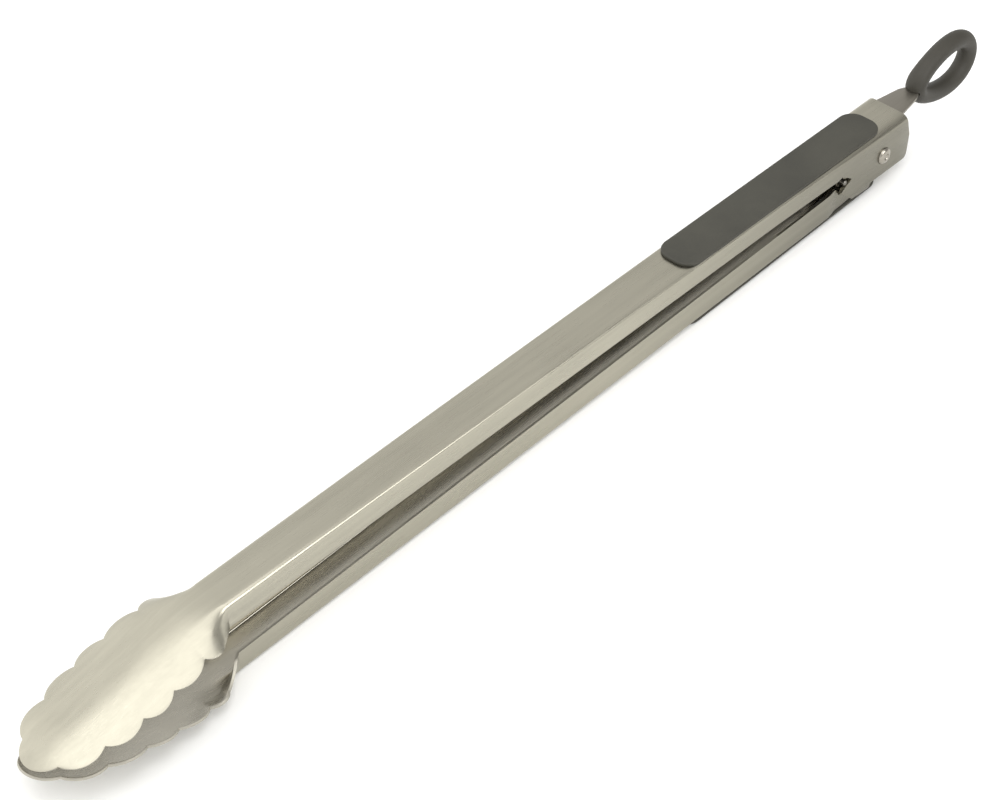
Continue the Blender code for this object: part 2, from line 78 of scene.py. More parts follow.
# Ear outlines, (x, z, corner radius): from the flange's end round the notch and down to the web.
# The upper ear's z is as drawn; the lower ear is drawn the same way up and then turned over.
FLANGE_END_X = -26.6
UPPER_EAR = ((-24.4, 4.0, 0.5), (-18.8, 0.2, 0.4), (-24.8, -3.6, 0.5), (-17.7, -9.6, 1.2),
             (-8.0, -10.2, 1.0), (-6.6, -8.4, 0.6), (14.2, -8.4, 2.2), (15.2, 1.5, 3.0),
             (12.6, 12.5, 0))
LOWER_EAR = ((-24.4, 4.3, 0.5), (-18.8, 0.5, 0.4), (-22.6, -2.4, 0.4), (-19.0, -7.0, 1.0),
             (-8.0, -8.1, 2.0), (3.0, -8.1, 3.0), (8.3, -3.0, 3.0), (9.0, 5.0, 0))

PAD_FRONT, PAD_REAR = -109.2, 0.6
PAD_HALF_WIDTH, PAD_END_RADIUS = 8.0, 6.2
PAD_PROUD, PAD_GAP, PAD_ROUNDING, PAD_CROWN = 1.4, 0.05, 0.55, 0.1

RIVET_RADIUS, RIVET_HOLE_RADIUS = 2.0, 2.1
RIVET_HEAD_RADIUS, RIVET_HEAD_HEIGHT = 3.3, 1.3
DIMPLE_RADIUS, DIMPLE_DEPTH, DIMPLE_LIP = 1.3, 0.75, 0.15
SPACER_RADIUS, SPACER_HALF = 3.4, 6.5
WIRE_RADIUS, COIL_RADIUS, COIL_TURNS, COIL_PITCH = 0.7, 4.6, 4.5, 1.6
COIL_STEPS = 36              # points on each turn
LEG_START_X, LEG_KNEE_X, LEG_KNEE_Z, LEG_END_X = -1.2, -38.0, 7.2, -52.0
LEG_BEND, LEG_BEND_STEPS = 3.0, 6
LEG_GAP = 0.3                # between a leg's end and the web

STRAP_Z, STRAP_HALF_WIDTH, STRAP_FRONT = 9.43, 6.4, -24.4
STRAP_TAPER_X, STRAP_TAPER_HALF_WIDTH = 25.0, 4.2
STRAP_TONGUE_X, STRAP_END, STRAP_TONGUE_HALF_WIDTH = 28.0, 31.2, 2.8
BAR_X, BAR_Z, BAR_RADIUS, BAR_HALF = -22.0, -0.33, 1.0, 8.7
TAB_INNER, TAB_OUTER, TAB_HALF_LENGTH = 5.2, 6.2, 2.4
RING_X, RING_Z, RING_A, RING_B = 46.0, 10.0, 15.8, 9.1
RING_EGG, RING_TUBE = 0.23, 3.63
RING_STEPS = 128
RING_SEAT_SPREAD, RING_SEAT_LENGTH = 0.14, 9.0    # the ring is broader where it grips the strap

# ---------------------------------------------------------------- where the arms lie, from the frame
joints = {joint["name"]: joint for joint in frame["joints"]}
record = frame["record"]
pivot = Vector(joints["arm_open"]["pos_m"])
slide_axis = joints["lock_slide"]["axis"]
rest_axis = next(m["axis"] for m in record["mounts"] if m["name"] == "rest_face")
UPPER_LEAN = atan2(slide_axis[2], -slide_axis[0])
LOWER_LEAN = -atan2(rest_axis[0], -rest_axis[2])
HOME = {
    "upper_arm": Matrix.Translation(pivot) @ Matrix.Rotation(UPPER_LEAN, 4, "Y"),
    "lower_arm": Matrix.Translation(pivot) @ Matrix.Rotation(LOWER_LEAN, 4, "Y"),
}
HOME["lock"] = HOME["upper_arm"]


# ---------------------------------------------------------------- mesh helpers
def link(obj):
    """Puts a new object in the scene."""
    bpy.context.scene.collection.objects.link(obj)
    return obj


def mesh_object(name, bm):
    """Turns a bmesh drawn in millimetres into an object."""
    bmesh.ops.transform(bm, matrix=Matrix.Scale(MM, 4), verts=bm.verts)
    mesh = bpy.data.meshes.new(name)
    bm.to_mesh(mesh)
    bm.free()
    return link(bpy.data.objects.new(name, mesh))


def applied(obj):
    """The object's mesh with its modifiers applied, its caps welded and faces pointing out."""
    bpy.context.view_layer.update()
    evaluated = obj.evaluated_get(bpy.context.evaluated_depsgraph_get())
    mesh = bpy.data.meshes.new_from_object(evaluated)
    name = obj.name
    bpy.data.objects.remove(obj, do_unlink=True)
    mesh.name = name
    bm = bmesh.new()
    bm.from_mesh(mesh)
    bmesh.ops.remove_doubles(bm, verts=bm.verts, dist=1e-6)
    bmesh.ops.dissolve_degenerate(bm, edges=bm.edges, dist=1e-7)
    bmesh.ops.recalc_face_normals(bm, faces=bm.faces)
    bm.to_mesh(mesh)
    bm.free()
    return link(bpy.data.objects.new(name, mesh))


def boolean(obj, other, operation="DIFFERENCE"):
    made = obj.modifiers.new(other.name, "BOOLEAN")
    made.operation = operation
    made.solver = "EXACT"
    made.object = other
    made = applied(obj)
    bpy.data.objects.remove(other, do_unlink=True)
    return made


def rounded_edges(obj, width, segments=2, slot=-1):
    """Rounds the sharp edges; slot is the material slot of the rounded faces, -1 for their own."""
    made = obj.modifiers.new("edges", "BEVEL")
    made.material = slot
    made.width = width * MM
    made.segments = segments
    made.limit_method = "ANGLE"
    made.angle_limit = radians(40.0)
    return applied(obj)


def smooth(obj, angle):
    obj.data.shade_smooth()
    obj.data.set_sharp_from_angle(angle=radians(angle))


def finish_piece(obj, body, slot, *materials, angle=38.0, stands_for_node=True):
    """Sets a piece in place on its body, in its materials, usually standing for the CAD node
    that its slot is named after."""
    smooth(obj, angle)
    obj.data.transform(HOME[body])
    for material in materials:
        obj.data.materials.append(material)
    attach(obj, body)
    if stands_for_node:
        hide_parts(slot)


def rounded(corners, steps=9):
    """Outline from corners (a, b, radius), each corner replaced by an arc."""
    outline = []
    for i, (a, b, radius) in enumerate(corners):
        here = Vector((a, b))
        if radius == 0:
            outline.append(here)
            continue
        before = (Vector(corners[i - 1][:2]) - here).normalized()
        after = (Vector(corners[(i + 1) % len(corners)][:2]) - here).normalized()
        half = before.angle(after) / 2
        middle = here + (before + after).normalized() * radius / sin(half)
        first = here + before * radius / tan(half) - middle
        last = here + after * radius / tan(half) - middle
        sweep = first.angle_signed(last)
        outline += [middle + Matrix.Rotation(-sweep * step / steps, 2) @ first
                    for step in range(steps + 1)]
    return outline


def prism(name, outline, low, high, upright=False):
    """An outline extruded between two depths: along Z, or along Y when upright."""
    bm = bmesh.new()
    floor = [bm.verts.new((a, -low, b) if upright else (a, b, low)) for a, b in outline]
    base = bm.faces.new(floor)
    made = bmesh.ops.extrude_face_region(bm, geom=[base])
    top = [item for item in made["geom"] if isinstance(item, bmesh.types.BMVert)]
    along = Vector((0, low - high, 0)) if upright else Vector((0, 0, high - low))
    bmesh.ops.translate(bm, vec=along, verts=top)
    bmesh.ops.recalc_face_normals(bm, faces=bm.faces)
    return mesh_object(name, bm)


def box(name, low, high):
    low, high = Vector(low), Vector(high)
    bm = bmesh.new()
    bmesh.ops.create_cube(bm, size=1.0)
    bmesh.ops.scale(bm, vec=high - low, verts=bm.verts)
    bmesh.ops.translate(bm, vec=(low + high) / 2, verts=bm.verts)
    return mesh_object(name, bm)


def across(name, radius, half_length, x=0.0, z=0.0, sides=64):
    """A plain cylinder along Y."""
    bm = bmesh.new()
    turn = Matrix.Translation((x, 0, z)) @ Matrix.Rotation(radians(90), 4, "X")
    bmesh.ops.create_cone(bm, cap_ends=True, segments=sides, radius1=radius, radius2=radius,
                          depth=2 * half_length, matrix=turn)
    return mesh_object(name, bm)


def turned(name, profile, x=0.0, z=0.0, steps=72):
    """A profile of (radius, y) turned about the Y axis through (x, z)."""
    bm = bmesh.new()
    rings = []
    for radius, y in profile:
        if radius == 0:
            rings.append([bm.verts.new((x, y, z))])
            continue
        rings.append([bm.verts.new((x + radius * cos(2 * pi * i / steps), y,
                                    z + radius * sin(2 * pi * i / steps))) for i in range(steps)])
    for first, second in zip(rings, rings[1:]):
        for i in range(steps):
            j = (i + 1) % steps
            corners = [first[i % len(first)], first[j % len(first)],
                       second[j % len(second)], second[i % len(second)]]
            bm.faces.new(list(dict.fromkeys(corners)))
    bmesh.ops.recalc_face_normals(bm, faces=bm.faces)
    return mesh_object(name, bm)


def tube(name, points, radius, closed=False, sides=20):
    """A round wire swept along points, its section kept from twisting."""
    points = [Vector(point) for point in points]
    count = len(points)
    bm = bmesh.new()
    rings = []
    normal = Vector((0, 1, 0))
    for i, point in enumerate(points):
        ahead = points[(i + 1) % count] if closed else points[min(i + 1, count - 1)]
        behind = points[i - 1] if closed or i else points[0]
        along = (ahead - behind).normalized()
        normal = (normal - along * normal.dot(along)).normalized()
        side = along.cross(normal)
        rings.append([bm.verts.new(point + radius * (normal * cos(2 * pi * j / sides)
                                                     + side * sin(2 * pi * j / sides)))
                      for j in range(sides)])
    pairs = list(zip(rings, rings[1:])) + ([(rings[-1], rings[0])] if closed else [])
    for first, second in pairs:
        for j in range(sides):
            k = (j + 1) % sides
            bm.faces.new((first[j], first[k], second[k], second[j]))
    if not closed:
        bm.faces.new(rings[0])
        bm.faces.new(rings[-1])
    bmesh.ops.recalc_face_normals(bm, faces=bm.faces)
    return mesh_object(name, bm)


# ---------------------------------------------------------------- materials
def shader_tree(name, colour, roughness, metallic):
    material = bpy.data.materials.new(name)
    material.use_nodes = True
    tree = material.node_tree
    shader = tree.nodes["Principled BSDF"]
    shader.inputs["Base Color"].default_value = (*colour, 1.0)
    shader.inputs["Roughness"].default_value = roughness
    shader.inputs["Metallic"].default_value = metallic
    return material, tree, shader


def node(tree, kind, **settings):
    made = tree.nodes.new(kind)
    for key, value in settings.items():
        if key in made.inputs:
            made.inputs[key].default_value = value
        else:
            setattr(made, key, value)
    return made


def noise(tree, scale, stretch, detail, roughness):
    """Noise in the piece's own coordinates; scale is in cells per metre before stretching."""
    where = node(tree, "ShaderNodeTexCoord")
    mapping = node(tree, "ShaderNodeMapping", Scale=stretch)
    tree.links.new(where.outputs["Object"], mapping.inputs["Vector"])
    made = node(tree, "ShaderNodeTexNoise", Scale=scale, Detail=detail, Roughness=roughness)
    tree.links.new(mapping.outputs["Vector"], made.inputs["Vector"])
    return made.outputs["Fac"]


def spread(tree, value, low, high, from_low=0.3, from_high=0.7):
    """Maps a value onto low to high and holds it there; noise mostly lies from 0.3 to 0.7."""
    made = node(tree, "ShaderNodeMapRange")
    made.inputs["From Min"].default_value = from_low
    made.inputs["From Max"].default_value = from_high
    made.inputs["To Min"].default_value = low
    made.inputs["To Max"].default_value = high
    tree.links.new(value, made.inputs["Value"])
    return made.outputs["Result"]


def tint(tree, fac, dark, light):
    """Runs from the dark colour to the light one as fac goes from 0 to 1."""
    made = node(tree, "ShaderNodeMix", data_type="RGBA")
    first, second = [socket for socket in made.inputs if socket.type == "RGBA"]
    first.default_value = (*dark, 1.0)
    second.default_value = (*light, 1.0)
    tree.links.new(fac, made.inputs["Factor"])
    return next(out for out in made.outputs if out.type == "RGBA")


def add(tree, first, second, operation="ADD"):
    """Adds two values, or multiplies or subtracts them; either may be a plain number."""
    made = node(tree, "ShaderNodeMath", operation=operation)
    for socket, value in zip(made.inputs, (first, second)):
        if isinstance(value, (int, float)):
            socket.default_value = value
        else:
            tree.links.new(value, socket)
    return made.outputs["Value"]


def bump(tree, shader, height, distance, strength):
    made = node(tree, "ShaderNodeBump", Strength=strength, Distance=distance)
    tree.links.new(height, made.inputs["Height"])
    tree.links.new(made.outputs["Normal"], shader.inputs["Normal"])


def painted_side_shade(tree, steel):
    """Painted shade: the base colour of side-facing surfaces darkens towards the pivot, by up to
    about half, standing in for the shade that falls on the sides there.
    """
    where = node(tree, "ShaderNodeTexCoord")
    place = node(tree, "ShaderNodeSeparateXYZ")
    facing = node(tree, "ShaderNodeSeparateXYZ")
    tree.links.new(where.outputs["Object"], place.inputs["Vector"])
    tree.links.new(where.outputs["Normal"], facing.inputs["Vector"])
    sideways = add(tree, facing.outputs["Y"], facing.outputs["Y"], "MULTIPLY")
    reach = spread(tree, place.outputs["X"], 0.0, 0.48, 0.02, 0.15)
    made = node(tree, "ShaderNodeVectorMath", operation="SCALE")
    tree.links.new(steel, made.inputs[0])
    tree.links.new(add(tree, 1.0, add(tree, sideways, reach, "MULTIPLY"), "SUBTRACT"),
                   made.inputs["Scale"])
    return made.outputs["Vector"]


def brushed_steel(name, colour, roughness, grain=1.0, along=(0.02, 1.0, 1.0), paint_side_shade=False):
    """Satin steel: hairlines along one axis, broad soft smudges and a slight change of tone."""
    material, tree, shader = shader_tree(name, colour, roughness, 1.0)
    hair = noise(tree, 2600.0, along, 4.0, 0.65)
    streak = noise(tree, 420.0, along, 3.0, 0.55)
    smudge = noise(tree, 26.0, (0.6, 1.0, 1.0), 3.0, 0.6)
    tone = add(tree, spread(tree, streak, 0.0, 0.6), spread(tree, smudge, 0.0, 0.4))
    dark = tuple(c * (1 - 0.10 * grain) for c in colour)
    light = tuple(min(1.0, c * (1 + 0.07 * grain)) for c in colour)
    steel = tint(tree, tone, dark, light)
    # When asked, painted shade darkens the sides towards the pivot.
    tree.links.new(painted_side_shade(tree, steel) if paint_side_shade else steel, shader.inputs["Base Color"])
    rough = add(tree, spread(tree, hair, roughness - 0.05 * grain, roughness + 0.07 * grain),
                spread(tree, smudge, -0.05, 0.05))
    tree.links.new(rough, shader.inputs["Roughness"])
    bump(tree, shader, add(tree, hair, streak), 0.00002 * grain, 0.35)
    return material


def rubber(name, colour, roughness, grain):
    """Soft moulded rubber: fine pebbled skin, faint cloudy bloom and rubbed, duller patches."""
    material, tree, shader = shader_tree(name, colour, roughness, 0.0)
    skin = noise(tree, grain, (1, 1, 1), 4.0, 0.6)
    cloud = noise(tree, 45.0, (1, 1, 1), 4.0, 0.6)
    dark = tuple(c * 0.86 for c in colour)
    light = tuple(c * 1.22 for c in colour)
    bloom = spread(tree, add(tree, cloud, spread(tree, skin, -0.1, 0.1)), 0.0, 1.0)
    tree.links.new(tint(tree, bloom, dark, light), shader.inputs["Base Color"])
    rubbed = spread(tree, add(tree, cloud, skin), roughness - 0.07, roughness + 0.09, 0.7, 1.3)
    tree.links.new(rubbed, shader.inputs["Roughness"])
    shader.inputs["Specular IOR Level"].default_value = 0.33
    bump(tree, shader, skin, 0.00006, 0.6)
    return material


# The arm steel carries painted shade on its sides near the pivot.
ARM_STEEL = brushed_steel("arm_steel", (0.400, 0.381, 0.312), 0.30, paint_side_shade=True)
INSIDE_STEEL = brushed_steel("inside_steel", (0.375, 0.356, 0.302), 0.27, 0.8)
# The cut-edge steel is rougher, as cut edges are, and a little lighter than the arm steel: the
# lighter colour is partly a painted highlight along the edges.
EDGE_STEEL = brushed_steel("edge_steel", (0.430, 0.410, 0.352), 0.45, 0.6)
STRAP_STEEL = brushed_steel("strap_steel", (0.270, 0.252, 0.215), 0.36)
RIVET_STEEL = brushed_steel("rivet_steel", (0.34, 0.318, 0.275), 0.24, 0.5, (1.0, 0.05, 1.0))
# The bar and spacer steel is painted much darker than the arm steel: painted shade for the dark
# notch and pivot they sit in.
PAINTED_SHADE_BAR_STEEL = brushed_steel("bar_steel", (0.20, 0.19, 0.17), 0.40, 0.8, (1.0, 0.03, 1.0))
SPRING_STEEL = brushed_steel("spring_steel", (0.26, 0.25, 0.225), 0.45, 0.8, (0.3, 1.0, 1.0))
PAD_RUBBER = rubber("pad_rubber", (0.042, 0.0405, 0.032), 0.62, 1500.0)
RING_RUBBER = rubber("ring_rubber", (0.035, 0.032, 0.025), 0.55, 2200.0)


# ---------------------------------------------------------------- arms
def ramp(x, start, softness):
    past = start - x
    return (past + hypot(past, softness)) / 2


def ridge_z(x):
    drop = max(0.0, TIP_DROP_START - x) / (REACH + TIP_DROP_START)
    return WEB_Z - RIDGE_LEAN * ramp(x, RIDGE_START, RIDGE_SOFTNESS) - TIP_DROP * drop ** 2


def trough_z(x, y):
    return ridge_z(x) - TROUGH * abs(y) ** TROUGH_POWER


def flange_edge_z(x, flange):
    share = (x - REAR_X) / (NECK_X - REAR_X)
    return WEB_Z - (flange[0] + (flange[1] - flange[0]) * share)


def between(x, table):
    for (x0, v0), (x1, v1) in zip(table, table[1:]):
        if x >= x1:
            return v0 + (v1 - v0) * min(1.0, max(0.0, (x0 - x) / (x0 - x1)))
    return table[-1][1]


WEB_COLUMNS, BEND_COLUMNS, FLANGE_COLUMNS = 6, 7, 4
INSIDE_SLOT, EDGE_SLOT = 1, 2


def channel_section(half_width, top_z, edge_z, bend):
    """Half of the channel's section from its middle to the flange's edge, as (y, z)."""
    flat = half_width - bend
    points = [(flat * i / WEB_COLUMNS, top_z) for i in range(WEB_COLUMNS + 1)]
    for i in range(1, BEND_COLUMNS + 1):
        angle = radians(90 * i / BEND_COLUMNS)
        points.append((flat + bend * sin(angle), top_z - bend * (1 - cos(angle))))
    start = top_z - bend
    return points + [(half_width, start + (edge_z - start) * i / FLANGE_COLUMNS)
                     for i in range(1, FLANGE_COLUMNS + 1)]


def lobe(start, end, bulge, steps):
    """Points after start on the arc to end that bulges outwards."""
    start, end = Vector(start), Vector(end)
    chord = end - start
    radius = (chord.length ** 2 / 4 + bulge ** 2) / (2 * bulge)
    outward = Vector((chord.y, -chord.x)).normalized()
    middle = (start + end) / 2 + outward * (bulge - radius)
    first, last = start - middle, end - middle
    sweep = -first.angle_signed(last)
    return [middle + Matrix.Rotation(sweep * i / steps, 2) @ first for i in range(1, steps + 1)]


def rim_outline(neck_x, reach):
    """The jaw's edge in plan, from the flange's end to the tip."""
    outline = []
    corner = (neck_x, NECK_HALF_WIDTH)
    for x, y, bulge in LOBES:
        end = (x, y - INSIDE)
        outline += lobe(corner, end, bulge, LOBE_STEPS)
        corner = end
    tip_bulge = reach - INSIDE + corner[0]
    outline += lobe(corner, (corner[0], -corner[1]), tip_bulge, 2 * TIP_STEPS)[:TIP_STEPS]
    return outline


def flare(x):
    """How far the channel has opened out into the jaw at x, from 0 to 1."""
    t = min(1.0, max(0.0, (NECK_X - x) / FLARE_LENGTH))
    return 1 - (1 - t) ** FLARE_POWER


def arm_rows(stations, widths, depths, flange, reach):
    rows = []
    for x in stations:
        section = channel_section(between(x, widths), ridge_z(x), between(x, depths),
                                  between(x, BENDS))
        rows.append([(x, y, z) for y, z in section])
    neck_x = stations[-1]
    neck = channel_section(NECK_HALF_WIDTH, 0.0, flange_edge_z(neck_x, flange) - ridge_z(neck_x),
                           NECK_BEND_RADIUS)
    rim = rim_outline(neck_x, reach)
    for i, (rim_x, rim_y) in enumerate(rim, 1):
        spine_x = neck_x + (SPINE_END - neck_x) * i / len(rim)
        share = flare(rim_x)
        row = []
        for j, (y, z) in enumerate(neck):
            t = j / (len(neck) - 1)
            x = spine_x + (rim_x - spine_x) * t
            flared = Vector((y + (rim_y - NECK_HALF_WIDTH) * z / neck[-1][1], ridge_z(x) + z))
            dished = Vector((rim_y * t, trough_z(x, rim_y * t)))
            row.append((x, *flared.lerp(dished, share)))
        rows.append(row)
    return rows


def pressed_arm(name, side, stations, widths, depths, flange, reach):
    """One arm as a thin sheet: side is 1 for the upper arm and -1 for the lower one."""
    bm = bmesh.new()
    grid = [[bm.verts.new((x, y, z * side)) for x, y, z in row]
            for row in arm_rows(stations, widths, depths, flange, reach)]
    for row, next_row in zip(grid, grid[1:]):
        for j in range(len(row) - 1):
            bm.faces.new((row[j], row[j + 1], next_row[j + 1], next_row[j]))
    bm.normal_update()
    if grid[0][0].link_faces[0].normal.z * side < 0:
        bmesh.ops.reverse_faces(bm, faces=bm.faces)
    obj = mesh_object(name, bm)
    for material in (ARM_STEEL, INSIDE_STEEL, EDGE_STEEL):
        obj.data.materials.append(material)
    mirror = obj.modifiers.new("mirror", "MIRROR")
    mirror.use_axis = (False, True, False)
    mirror.merge_threshold = 1e-5
    solid = obj.modifiers.new("sheet", "SOLIDIFY")
    solid.thickness = SHEET * MM
    solid.offset = -1.0
    solid.use_even_offset = True
    solid.material_offset = INSIDE_SLOT
    solid.material_offset_rim = EDGE_SLOT
    return applied(obj)


def stations(first, last, *extra):
    """Where the channel's rows stand: close together at the ears, then along to the neck."""
    marks = {first, -10.0, -16.0, -20.0, -34.0, -40.0, -50.0, -60.0, last, *extra}
    marks |= {-80.0 - 24.0 * i for i in range(10)}
    return sorted((x for x in marks if x <= first), reverse=True)


def trimmed(arm, side, ear, flange):
    """Cuts the ear's outline, the notch behind the flange and the rivet's hole."""
    front, rear, far = -60.0, 30.0, -30.0
    outline = rounded([(front, flange_edge_z(front, flange), 0),
                       (FLANGE_END_X, flange_edge_z(FLANGE_END_X, flange), 1.0), *ear,
                       (rear, ear[-1][1], 0), (rear, far, 0), (front, far, 0)])
    cutter = prism(arm.name + "_outline", [(x, z * side) for x, z in outline], -15.0, 15.0, True)
    arm = boolean(arm, cutter)
    return boolean(arm, across(arm.name + "_hole", RIVET_HOLE_RADIUS, 20.0))


def depth_table(rear_x, deep_until, flange):
    return ((rear_x, -12.0), (deep_until, -12.0), (-40.0, flange_edge_z(-40.0, flange) - 1.0),
            (-60.0, flange_edge_z(-60.0, flange)), (NECK_X, flange_edge_z(NECK_X, flange)))


def upper_arm():
    widths = ((16.0, EAR_HALF_WIDTH), (-20.0, EAR_HALF_WIDTH), (-60.0, 8.4),
              (NECK_X, NECK_HALF_WIDTH))
    rows = stations(15.5, NECK_X, -4.0, 0.0, 8.0)
    arm = pressed_arm("upper_arm_steel", 1, rows, widths, depth_table(16.0, -34.0, UPPER_FLANGE),
                      UPPER_FLANGE, REACH)
    arm = rounded_edges(trimmed(arm, 1, UPPER_EAR, UPPER_FLANGE), EDGE_ROUNDING, 3, EDGE_SLOT)
    finish_piece(arm, "upper_arm", "upper_arm")


def lower_arm():
    widths = ((10.0, INNER_EAR_HALF_WIDTH), (-26.5, INNER_EAR_HALF_WIDTH),
              (-30.5, REAR_HALF_WIDTH), (REAR_X, REAR_HALF_WIDTH), (NECK_X, NECK_HALF_WIDTH))
    rows = stations(9.0, LOWER_NECK_X, 0.0, -24.0, -26.5, -30.5, REAR_X)
    arm = pressed_arm("lower_arm_steel", -1, rows, widths, depth_table(10.0, -30.5, LOWER_FLANGE),
                      LOWER_FLANGE, LOWER_REACH)
    arm = rounded_edges(trimmed(arm, -1, LOWER_EAR, LOWER_FLANGE), EDGE_ROUNDING, 3, EDGE_SLOT)
    finish_piece(arm, "lower_arm", "lower_arm")


# ---------------------------------------------------------------- grips
def grip(node_name, side, body):
    """A bonded rubber pad: rounded outline, softly rounded edge and a slight crown."""
    corners = [(PAD_FRONT, -1), (PAD_REAR, -1), (PAD_REAR, 1), (PAD_FRONT, 1)]
    middle_x = (PAD_FRONT + PAD_REAR) / 2

    def ring_at(inset, height):
        radius = PAD_END_RADIUS - inset
        outline = rounded([(x + (inset if x < middle_x else -inset), y * (PAD_HALF_WIDTH - inset),
                            max(radius, 0.3)) for x, y in corners], 16)
        return [(x, y, side * (WEB_Z + height)) for x, y in outline]

    edge = PAD_PROUD - PAD_CROWN
    levels = [(0.1, PAD_GAP), (0.0, PAD_GAP + 0.1)]
    levels += [(PAD_ROUNDING * (1 - cos(a)), edge - PAD_ROUNDING * (1 - sin(a)))
               for a in map(radians, (0, 18, 36, 54, 72, 90))]
    levels += [(inset, edge + PAD_CROWN * (1 - ((PAD_HALF_WIDTH - inset) / PAD_HALF_WIDTH) ** 2))
               for inset in (1.4, 2.4, 3.6, 5.0, 6.2)]
    bm = bmesh.new()
    rings = [[bm.verts.new(point) for point in ring_at(*level)] for level in levels]
    for first, second in zip(rings, rings[1:]):
        for i in range(len(first)):
            j = (i + 1) % len(first)
            bm.faces.new((first[i], first[j], second[j], second[i]))
    bm.faces.new(rings[0])
    bm.faces.new(rings[-1])
    bmesh.ops.recalc_face_normals(bm, faces=bm.faces)
    obj = mesh_object(node_name + "_pad", bm)
    finish_piece(obj, body, node_name, PAD_RUBBER, angle=60.0)


# ---------------------------------------------------------------- pivot and spring
def rivet():
    """The rivet with a dimple in the middle of each domed head."""
    seat = EAR_HALF_WIDTH + 0.05
    top = seat + RIVET_HEAD_HEIGHT
    head = [(0.0, top - DIMPLE_DEPTH)]
    head += [(DIMPLE_RADIUS * sin(a), top - DIMPLE_DEPTH * cos(a) ** 1.5)
             for a in map(radians, (20, 40, 60, 78, 88))]
    lip = DIMPLE_RADIUS + DIMPLE_LIP
    head += [(lip + (RIVET_HEAD_RADIUS - lip) * sin(a), seat + RIVET_HEAD_HEIGHT * cos(a))
             for a in map(radians, (8, 20, 32, 44, 56, 68, 80, 90))]
    head.append((RIVET_RADIUS, seat))
    profile = head + [(radius, -y) for radius, y in reversed(head)]
    finish_piece(turned("rivet", profile), "lower_arm", "pivot_rivet", RIVET_STEEL, angle=50.0)


def spacer():
    """The tube on the rivet that carries the coil."""
    inner, edge = RIVET_HOLE_RADIUS, 0.2
    half = [(inner, 0.0), (inner, SPACER_HALF - edge), (inner + edge, SPACER_HALF),
            (SPACER_RADIUS - edge, SPACER_HALF), (SPACER_RADIUS, SPACER_HALF - edge)]
    profile = half + [(radius, -y) for radius, y in reversed(half)]
    finish_piece(turned("spacer_tube", profile), "lower_arm", "pivot_spacer", PAINTED_SHADE_BAR_STEEL)


def coil_points(first_turn, last_turn):
    """Points on the helix between two turns, starting over the pivot on the +Y side."""
    half = COIL_TURNS * COIL_PITCH / 2
    steps = max(2, round((last_turn - first_turn) * COIL_STEPS))
    points = []
    for i in range(steps + 1):
        turn = first_turn + (last_turn - first_turn) * i / steps
        angle = radians(90) - 2 * pi * turn
        points.append((COIL_RADIUS * cos(angle), half - COIL_PITCH * turn, COIL_RADIUS * sin(angle)))
    return points


def bent(corners):
    """A leg's path through its corners, each inner one taken by a smooth bend."""
    path = [Vector(corners[0])]
    for before, here, after in zip(corners, corners[1:], corners[2:]):
        before, here, after = Vector(before), Vector(here), Vector(after)
        start = here + (before - here).normalized() * LEG_BEND
        end = here + (after - here).normalized() * LEG_BEND
        for i in range(LEG_BEND_STEPS + 1):
            t = i / LEG_BEND_STEPS
            path.append(start.lerp(here, t).lerp(here.lerp(end, t), t))
    return path + [Vector(corners[-1])]


def spring():
    """The torsion spring in two halves that meet in the coil, so each leg keeps to its arm."""
    half = COIL_TURNS * COIL_PITCH / 2
    end_z = WEB_Z - SHEET - WIRE_RADIUS - LEG_GAP
    middle, overlap = COIL_TURNS / 2, 0.06
    lean = UPPER_LEAN - LOWER_LEAN
    upper_leg = bent([(LEG_END_X, half, end_z), (LEG_KNEE_X, half, LEG_KNEE_Z),
                      (LEG_START_X, half, COIL_RADIUS)])
    lower_leg = bent([(LEG_START_X, -half, -COIL_RADIUS), (LEG_KNEE_X, -half, -LEG_KNEE_Z),
                      (LEG_END_X, -half, -end_z)])
    upper = tube("spring_upper_half", upper_leg + coil_points(0.0, middle + overlap), WIRE_RADIUS)
    lower = tube("spring_lower_half", coil_points(middle - lean / (2 * pi), COIL_TURNS) + lower_leg,
                 WIRE_RADIUS)
    finish_piece(lower, "lower_arm", "torsion_spring", SPRING_STEEL, angle=60.0)
    finish_piece(upper, "upper_arm", "torsion_spring", SPRING_STEEL, angle=60.0,
                 stands_for_node=False)


# ---------------------------------------------------------------- lock
def strap():
    """The lock's strap, tapering to a tongue in the ring, with two tabs that carry the bar."""
    half = STRAP_HALF_WIDTH
    side = [(STRAP_FRONT, half, 1.0), (12.0, half, 6.0),
            (STRAP_TAPER_X, STRAP_TAPER_HALF_WIDTH, 3.0),
            (STRAP_TONGUE_X, STRAP_TONGUE_HALF_WIDTH, 0.8),
            (STRAP_END, STRAP_TONGUE_HALF_WIDTH, 0.6)]
    outline = rounded(side + [(x, -y, r) for x, y, r in reversed(side)])
    plate = prism("strap_plate", outline, STRAP_Z - SHEET / 2, STRAP_Z + SHEET / 2)
    front, back = BAR_X - TAB_HALF_LENGTH, BAR_X + TAB_HALF_LENGTH
    foot = BAR_Z - TAB_HALF_LENGTH
    drop = rounded([(front, STRAP_Z, 0), (front, foot, TAB_HALF_LENGTH * 0.96),
                    (back, foot, TAB_HALF_LENGTH * 0.96), (back, STRAP_Z, 0)])
    for sign in (-1, 1):
        inner, outer = sorted((sign * TAB_INNER, sign * TAB_OUTER))
        plate = boolean(plate, prism(f"tab_{sign}", drop, inner, outer, True), "UNION")
    plate = boolean(plate, across("bar_hole", BAR_RADIUS + 0.15, 10.0, BAR_X, BAR_Z, 48))
    plate = rounded_edges(plate, 0.14)
    finish_piece(plate, "lock", "lock_strap", STRAP_STEEL)


def bar():
    """The lock's cross bar, chamfered at both ends."""
    edge = 0.25
    half = [(0.0, BAR_HALF), (BAR_RADIUS - edge, BAR_HALF), (BAR_RADIUS, BAR_HALF - edge)]
    profile = half + [(radius, -y) for radius, y in reversed(half)]
    finish_piece(turned("cross_bar", profile, BAR_X, BAR_Z, 48), "lock", "lock_bar", PAINTED_SHADE_BAR_STEEL)


